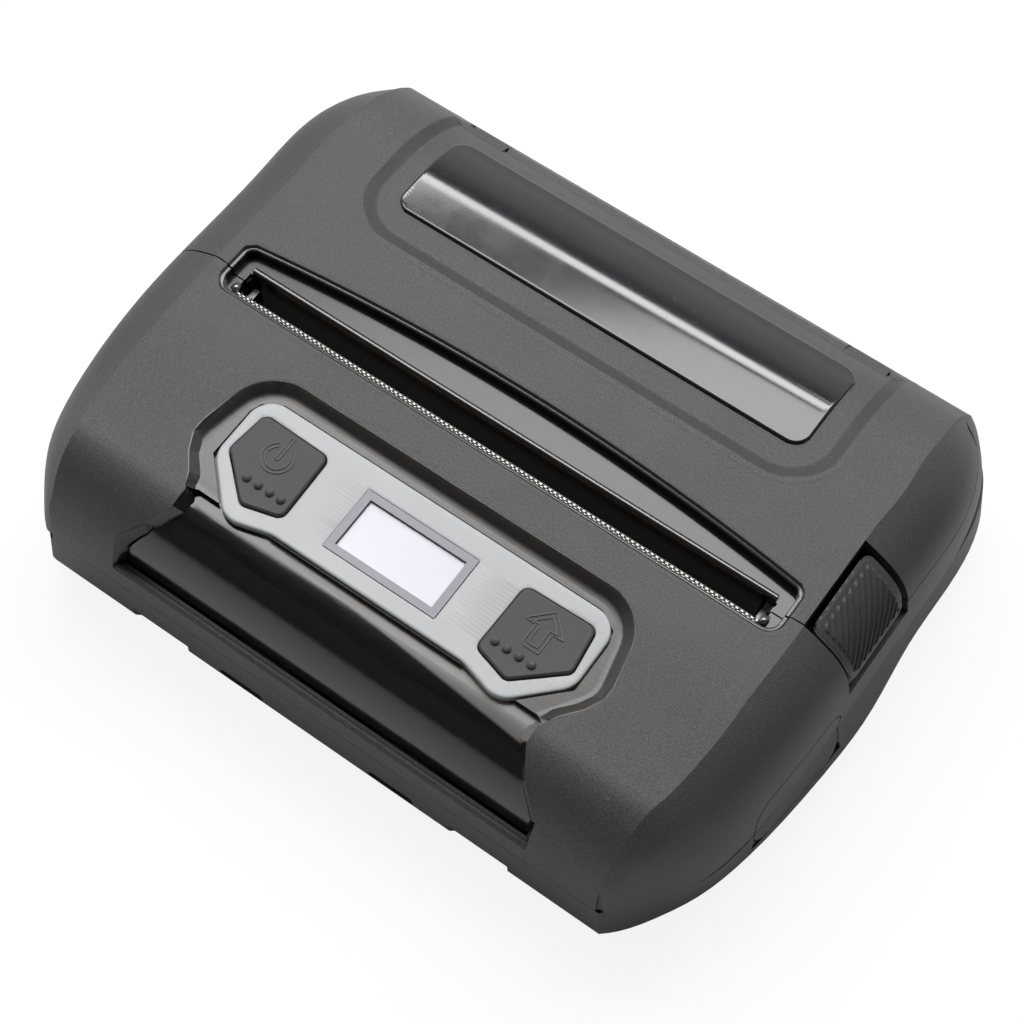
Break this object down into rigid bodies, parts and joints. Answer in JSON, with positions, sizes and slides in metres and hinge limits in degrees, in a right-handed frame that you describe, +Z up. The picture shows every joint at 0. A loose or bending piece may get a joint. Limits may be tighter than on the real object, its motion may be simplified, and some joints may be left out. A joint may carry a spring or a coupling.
{
  "type": "portable thermal printer",
  "caption": "Charcoal portable thermal receipt printer with hinged paper cover, smoked window, control panel and serrated paper exit",
  "frame": {"origin": "under the middle of the case, on the plane its feet rest on", "axes": "+Z up, +X to the user's right as the user faces the panel, -Y towards the user, where the panel is"},
  "size_m": [0.1608, 0.1226, 0.04],
  "materials": {
    "case": "fine grained matt charcoal",
    "window": "polished smoked",
    "panel": "satin silver grey",
    "bezel": "satin mid grey",
    "display": "smooth",
    "key_rubber": "matt",
    "platen_rubber": "ground",
    "foot_rubber": "matt",
    "steel": "brushed",
    "heat_sink": "satin",
    "gear_plastic": "moulded",
    "inner_plastic": "moulded",
    "head": "glazed",
    "circuit": "solder mask",
    "battery": "matt",
    "brass_parts": "satin"
  },
  "bodies": {
    "base": {"lower_housing": "case", "upper_housing": "case", "recess_liner": "window", "control_panel": "panel", "display_frame": "bezel", "lcd_module": "display", "button_board": "circuit", "tear_bar": "steel", "mechanism_frame": "steel", "stepper_motor": "steel", "idler_axle": "steel", "print_head": "head", "heat_sink": "heat_sink", "head_springs": "steel", "paper_tray": "inner_plastic", "paper_sensor": "inner_plastic", "hinge_pins": "steel", "main_board": "circuit", "port_sockets": "steel", "case_screws": "steel", "battery_door": "case", "battery_pack": "battery", "rubber_feet": "foot_rubber"},
    "cover": {"paper_cover": "case", "window_lens": "window", "guide_bar": "inner_plastic", "platen_bushings": "gear_plastic"},
    "platen": {"platen_roller": "platen_rubber", "platen_shaft": "steel", "platen_gear": "gear_plastic"},
    "idler": {"idler_gear": "gear_plastic"},
    "pinion": {"motor_pinion": "brass_parts"},
    "latch": {"latch_button": "case"},
    "power_key": {"power_button": "key_rubber"},
    "feed_key": {"feed_button": "key_rubber"},
    "port_flap": {"port_cover": "key_rubber"}
  },
  "joints": [
    {"name": "cover_hinge", "type": "hinge", "parent": "base", "child": "cover", "pos_m": [0, 0.0554, 0.0272], "axis": [-1, 0, 0], "range_deg": [0, 95]},
    {"name": "platen_spin", "type": "hinge", "parent": "cover", "child": "platen", "pos_m": [0, 0.0015, 0.029], "axis": [1, 0, 0], "continuous": true},
    {"name": "idler_spin", "type": "hinge", "parent": "base", "child": "idler", "pos_m": [-0.0625, 0.00105, 0.01551], "axis": [1, 0, 0], "continuous": true},
    {"name": "pinion_spin", "type": "hinge", "parent": "base", "child": "pinion", "pos_m": [-0.0625, -0.00928, 0.01174], "axis": [1, 0, 0], "continuous": true},
    {"name": "latch_press", "type": "slide", "parent": "base", "child": "latch", "axis": [0, 0, -1], "range_m": [0, 0.001], "stiffness_N_per_m": 400},
    {"name": "power_press", "type": "slide", "parent": "base", "child": "power_key", "axis": [0, 0, -1], "range_m": [0, 0.0005], "stiffness_N_per_m": 300},
    {"name": "feed_press", "type": "slide", "parent": "base", "child": "feed_key", "axis": [0, 0, -1], "range_m": [0, 0.0005], "stiffness_N_per_m": 300},
    {"name": "flap_hinge", "type": "hinge", "parent": "base", "child": "port_flap", "pos_m": [0.0778, -0.02, 0.0103], "axis": [0.0896, 0.996, 0], "range_deg": [0, 100]}
  ],
  "couplings": [
    {"joint": "idler_spin", "follows": "platen_spin", "ratio": -0.8},
    {"joint": "pinion_spin", "follows": "platen_spin", "ratio": 1.7143}
  ]
}
